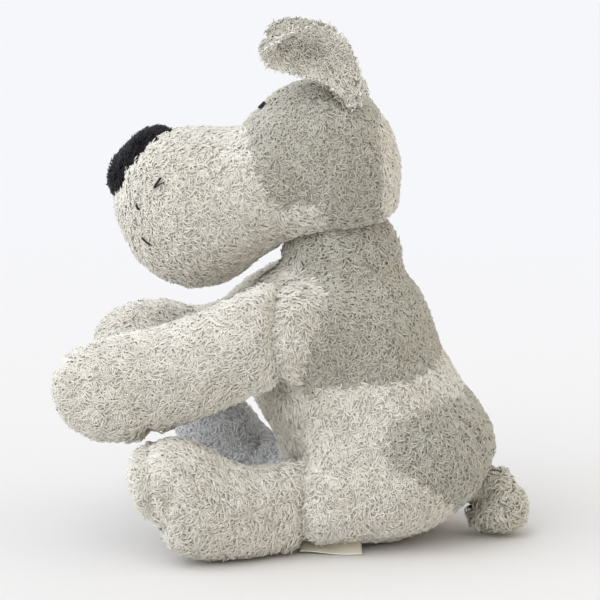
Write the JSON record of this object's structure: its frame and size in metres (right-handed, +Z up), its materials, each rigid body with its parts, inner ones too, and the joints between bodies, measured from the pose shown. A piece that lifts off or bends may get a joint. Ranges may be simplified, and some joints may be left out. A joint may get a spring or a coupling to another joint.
{
  "type": "plush dog",
  "caption": "Seated stuffed plush dog with patchwork pile covers, folded ears, a large muzzle and springy head, arms, legs, ears and tail.",
  "frame": {"origin": "on the floor, at the centre of the footprint of the sitting dog", "axes": "+Z up; the dog faces -X, its own left side is -Y, and its middle plane is Y = 0"},
  "size_m": [0.1921, 0.164, 0.2154],
  "materials": {
    "cream_pile": "matted curly long-pile plush in cream",
    "grey_pile": "matted curly long-pile plush in warm grey",
    "blue_grey_pile": "matted curly long-pile plush in cool dark grey",
    "nose_plush": "short black plush",
    "thread": "black satin-stitch embroidery thread",
    "fibre_fill": "white polyester fibre filling",
    "pouch_cloth": "plain woven cotton pouch, filled with pellets",
    "label_satin": "blank ivory satin ribbon"
  },
  "bodies": {
    "torso": {"torso_stuffing": "fibre_fill", "pellet_pouch": "pouch_cloth", "cape_left": "grey_pile", "cape_right": "grey_pile", "collar_panel": "grey_pile", "chest_left": "cream_pile", "chest_right": "cream_pile", "flank_left": "cream_pile", "flank_right": "cream_pile", "rump_patch": "grey_pile", "seat_panel": "cream_pile", "sewn_label": "label_satin"},
    "head": {"head_stuffing": "fibre_fill", "muzzle_left": "cream_pile", "muzzle_right": "cream_pile", "face_left": "grey_pile", "face_right": "grey_pile", "throat_panel": "cream_pile", "back_of_head": "cream_pile", "nose_cover": "nose_plush", "eye_left": "thread", "eye_right": "thread", "muzzle_stitches": "thread"},
    "left_ear": {"ear_left_outer": "grey_pile", "ear_left_lining": "cream_pile"},
    "right_ear": {"ear_right_outer": "grey_pile", "ear_right_lining": "cream_pile"},
    "left_arm": {"arm_left_outer": "cream_pile", "arm_left_inner": "cream_pile", "arm_left_stuffing": "fibre_fill"},
    "right_arm": {"arm_right_outer": "cream_pile", "arm_right_inner": "cream_pile", "arm_right_stuffing": "fibre_fill"},
    "left_leg": {"leg_left_outer": "cream_pile", "leg_left_inner": "cream_pile", "leg_left_sole": "cream_pile", "leg_left_stuffing": "fibre_fill"},
    "right_leg": {"leg_right_outer": "blue_grey_pile", "leg_right_inner": "blue_grey_pile", "leg_right_sole": "blue_grey_pile", "leg_right_stuffing": "fibre_fill"},
    "tail": {"tail_left": "grey_pile", "tail_right": "grey_pile", "tail_stuffing": "fibre_fill"}
  },
  "joints": [
    {"name": "neck_nod", "type": "hinge", "parent": "torso", "child": "head", "pos_m": [0.017, 0, 0.118], "axis": [0, 1, 0], "range_deg": [-3, 20], "stiffness_Nm_per_rad": 1},
    {"name": "left_shoulder", "type": "hinge", "parent": "torso", "child": "left_arm", "pos_m": [0, -0.038, 0.09], "axis": [0, 0.8, 0.6], "range_deg": [0, 30], "stiffness_Nm_per_rad": 0.3},
    {"name": "right_shoulder", "type": "hinge", "parent": "torso", "child": "right_arm", "pos_m": [0, 0.038, 0.09], "axis": [0, 0.8, -0.6], "range_deg": [0, 30], "stiffness_Nm_per_rad": 0.3},
    {"name": "left_hip", "type": "hinge", "parent": "torso", "child": "left_leg", "pos_m": [0.009, -0.036, 0.02], "axis": [0, 0, 1], "range_deg": [0, 25], "stiffness_Nm_per_rad": 0.5},
    {"name": "right_hip", "type": "hinge", "parent": "torso", "child": "right_leg", "pos_m": [0.009, 0.036, 0.02], "axis": [0, 0, -1], "range_deg": [0, 25], "stiffness_Nm_per_rad": 0.5},
    {"name": "left_ear_flap", "type": "hinge", "parent": "head", "child": "left_ear", "pos_m": [0.02775, -0.02225, 0.18575], "axis": [0.163, 0.8158, 0.5549], "range_deg": [-5, 25], "stiffness_Nm_per_rad": 0.03},
    {"name": "right_ear_flap", "type": "hinge", "parent": "head", "child": "right_ear", "pos_m": [0.02775, 0.02225, 0.18575], "axis": [0.163, -0.8158, 0.5549], "range_deg": [-25, 5], "stiffness_Nm_per_rad": 0.03},
    {"name": "tail_wag", "type": "hinge", "parent": "torso", "child": "tail", "pos_m": [0.081, 0, 0.022], "axis": [1, 0, 0], "range_deg": [-25, 25], "stiffness_Nm_per_rad": 0.05}
  ]
}
